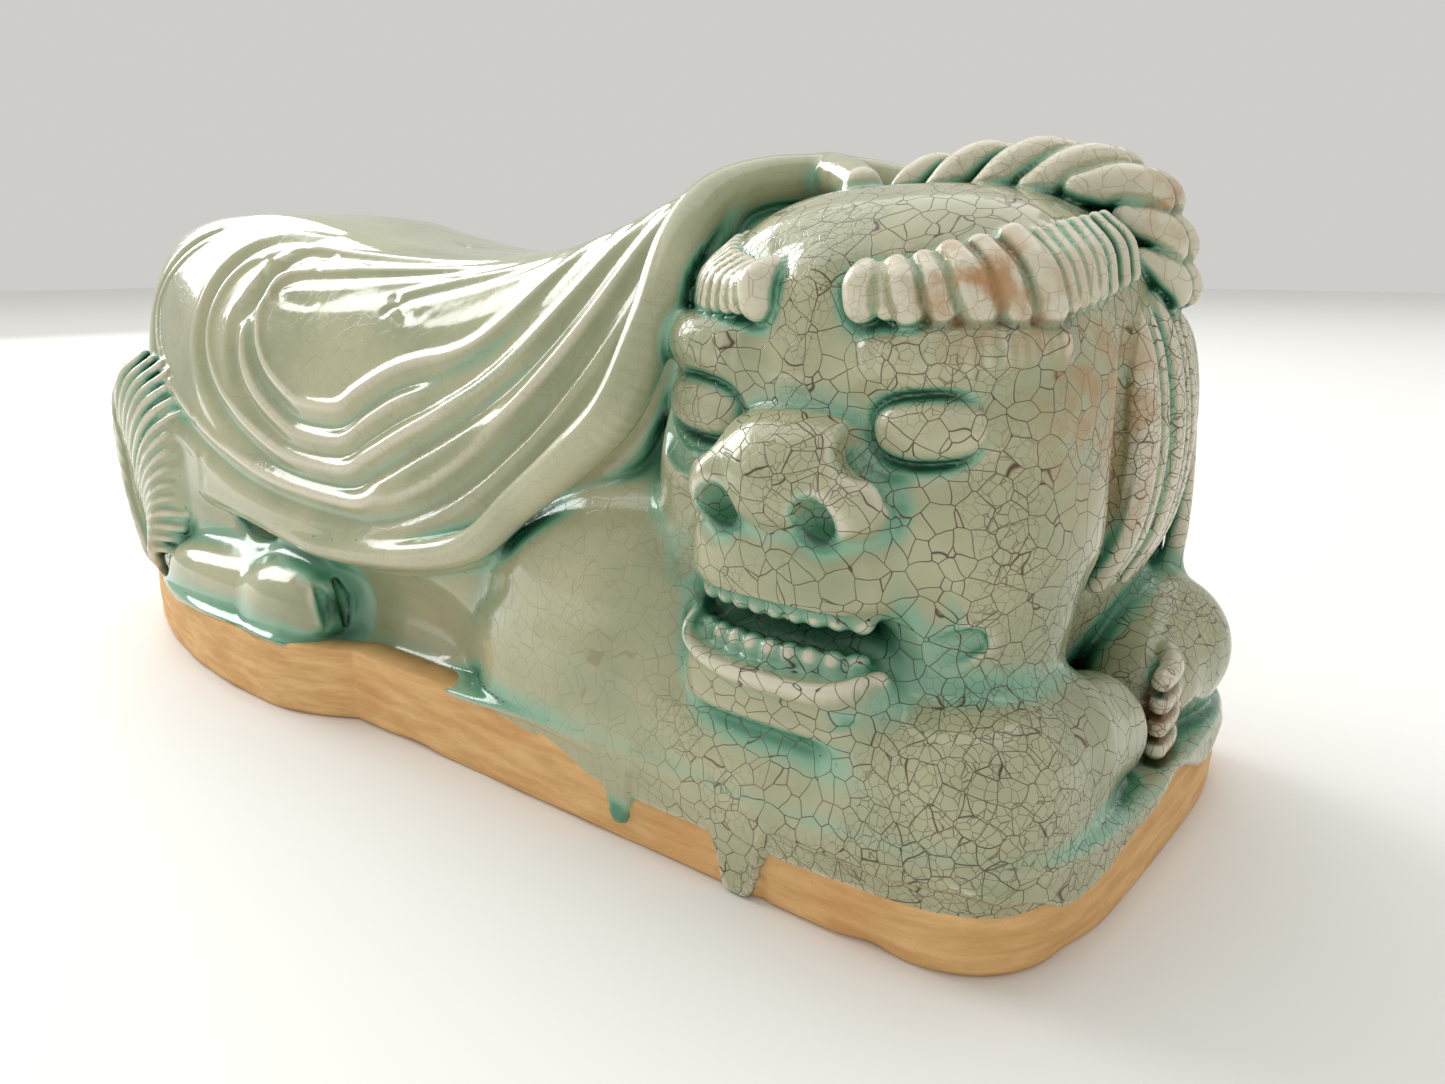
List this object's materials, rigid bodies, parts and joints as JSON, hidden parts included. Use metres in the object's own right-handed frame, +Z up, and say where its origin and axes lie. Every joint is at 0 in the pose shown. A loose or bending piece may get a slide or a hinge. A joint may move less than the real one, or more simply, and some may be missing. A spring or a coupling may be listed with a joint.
{
  "type": "foo dog figure",
  "caption": "Hollow celadon lion figure lying on a low clay plinth, its head turned to one side, with a leaf-shaped drape over its back; used as a headrest or ornament.",
  "frame": {"origin": "centre of the bounding box at its bottom, on the face that the plinth stands on", "axes": "+X along the body towards the head, the face looks towards -Y, +Z up"},
  "size_m": [0.36, 0.144, 0.1381],
  "materials": {
    "celadon_glaze": "glossy grey-green celadon glaze, pooled green in the grooves",
    "pale_glaze": "glossy pale celadon glaze with a dark crackle net",
    "green_glaze": "thick glossy blue-green glaze",
    "bare_clay": "matt buff stoneware with tool marks"
  },
  "bodies": {
    "root": {"plinth_wall": "bare_clay", "plinth_floor": "bare_clay", "plinth_deck": "celadon_glaze", "body_shell": "celadon_glaze", "leaf_drape": "celadon_glaze", "leaf_rim": "celadon_glaze", "neck_shell": "celadon_glaze", "head_shell": "pale_glaze", "lower_jaw": "pale_glaze", "nose": "pale_glaze", "upper_teeth": "pale_glaze", "lower_teeth": "pale_glaze", "eye_left": "pale_glaze", "eye_right": "pale_glaze", "brow_left": "pale_glaze", "brow_right": "pale_glaze", "mane_crest": "pale_glaze", "mane_lock_left": "pale_glaze", "mane_lock_back": "pale_glaze", "shoulder_right": "celadon_glaze", "shoulder_left": "celadon_glaze", "foreleg_right": "celadon_glaze", "foreleg_left": "celadon_glaze", "forepaw_right": "celadon_glaze", "forepaw_left": "pale_glaze", "haunch_right": "celadon_glaze", "haunch_left": "celadon_glaze", "hind_paw_right": "celadon_glaze", "hind_paw_left": "celadon_glaze", "tail": "celadon_glaze", "glaze_runs": "green_glaze"}
  },
  "joints": []
}
